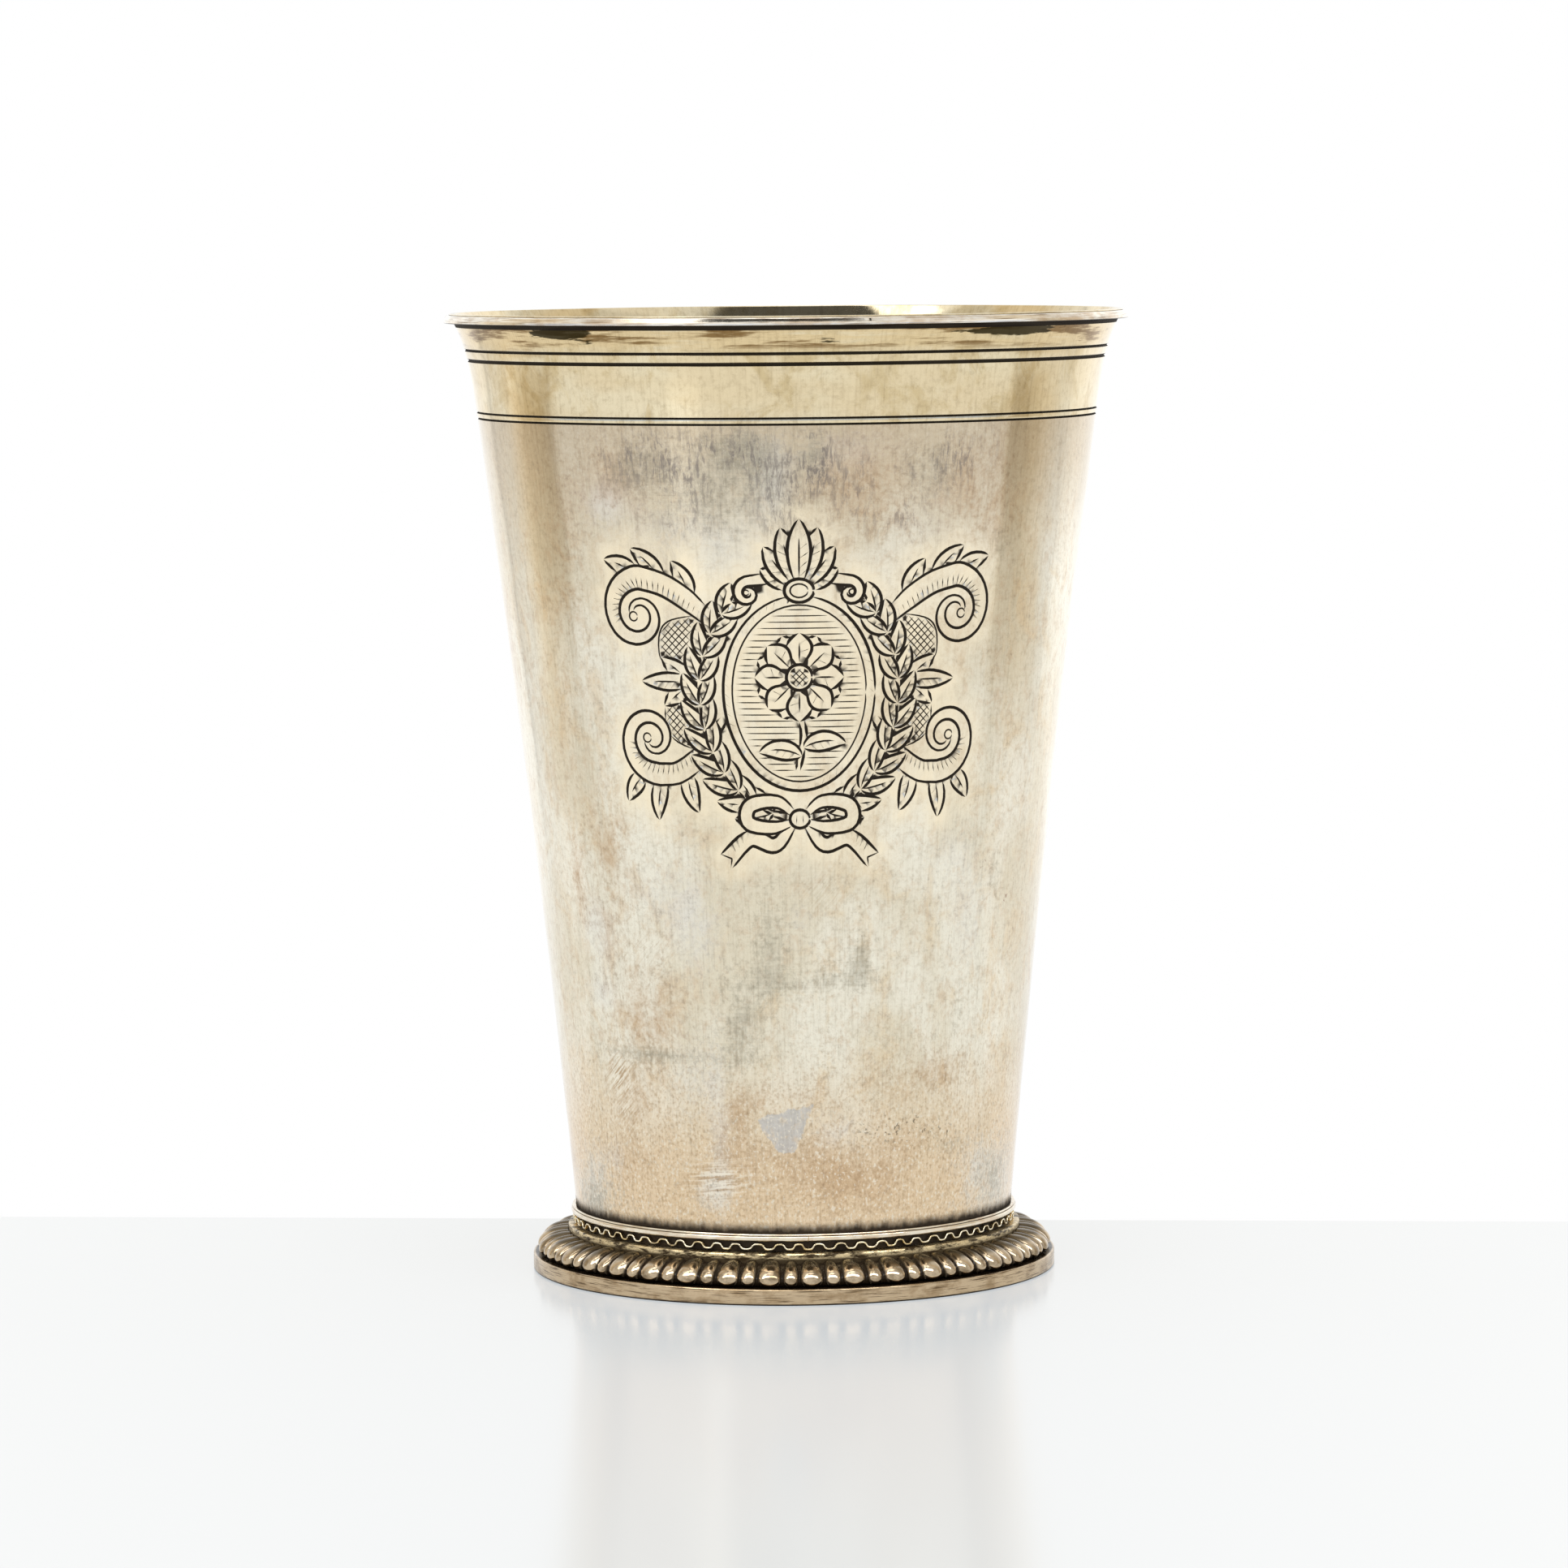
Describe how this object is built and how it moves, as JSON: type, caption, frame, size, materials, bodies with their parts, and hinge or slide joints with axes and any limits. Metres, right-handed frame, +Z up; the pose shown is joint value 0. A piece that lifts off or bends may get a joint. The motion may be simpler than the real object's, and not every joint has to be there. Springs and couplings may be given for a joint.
{
  "type": "footed beaker",
  "caption": "Tapering silver drinking beaker with a flared gilt lip and turned lines, on a low foot of gadroon lobes, crimped wire and plain band.",
  "frame": {"origin": "centre of the circle that the foot stands on", "axes": "+Z up along the axis of the cup, -Y towards the engraved front"},
  "size_m": [0.1138, 0.1138, 0.16],
  "materials": {
    "silver": "satin",
    "dark_silver": "satin",
    "gilt": "satin",
    "worn_gilt": "polished"
  },
  "bodies": {
    "root": {"cup_wall": "silver", "cup_floor": "gilt", "rim_wire": "worn_gilt", "collar_wire": "silver", "crimped_wire": "worn_gilt", "neck_ring": "gilt", "gadroon_ring": "dark_silver", "foot_band": "silver"}
  },
  "joints": []
}
